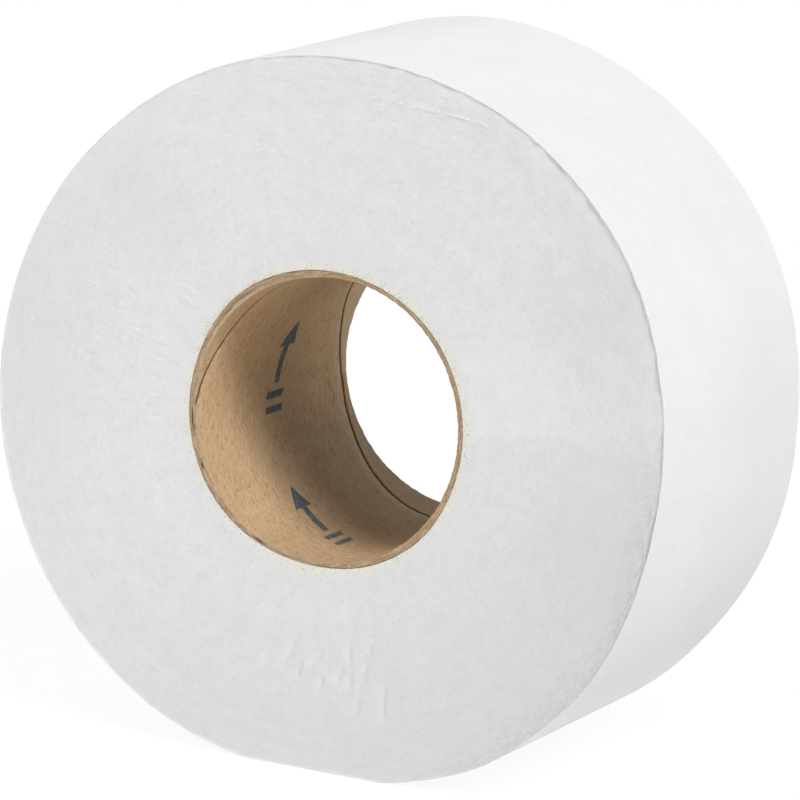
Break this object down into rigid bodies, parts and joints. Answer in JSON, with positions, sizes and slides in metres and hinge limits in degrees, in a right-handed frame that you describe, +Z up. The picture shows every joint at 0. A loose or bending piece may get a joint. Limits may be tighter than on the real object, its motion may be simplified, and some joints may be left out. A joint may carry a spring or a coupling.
{
  "type": "toilet paper roll",
  "caption": "Jumbo toilet paper roll wound on a wide card core, standing on a small flat spot on its rim; the core slips over a dispenser spindle.",
  "frame": {"origin": "centre of the core's bore, halfway along the roll's width", "axes": "+Y along the roll's axis, away from the end face seen in front; +Z up, away from the flat spot; +X to the right of the front face"},
  "size_m": [0.1928, 0.09, 0.1899],
  "materials": {
    "tissue": "soft matte white tissue",
    "card": "matte brown kraft card"
  },
  "bodies": {
    "root": {"paper_winding": "tissue", "core_tube": "card"}
  },
  "joints": []
}
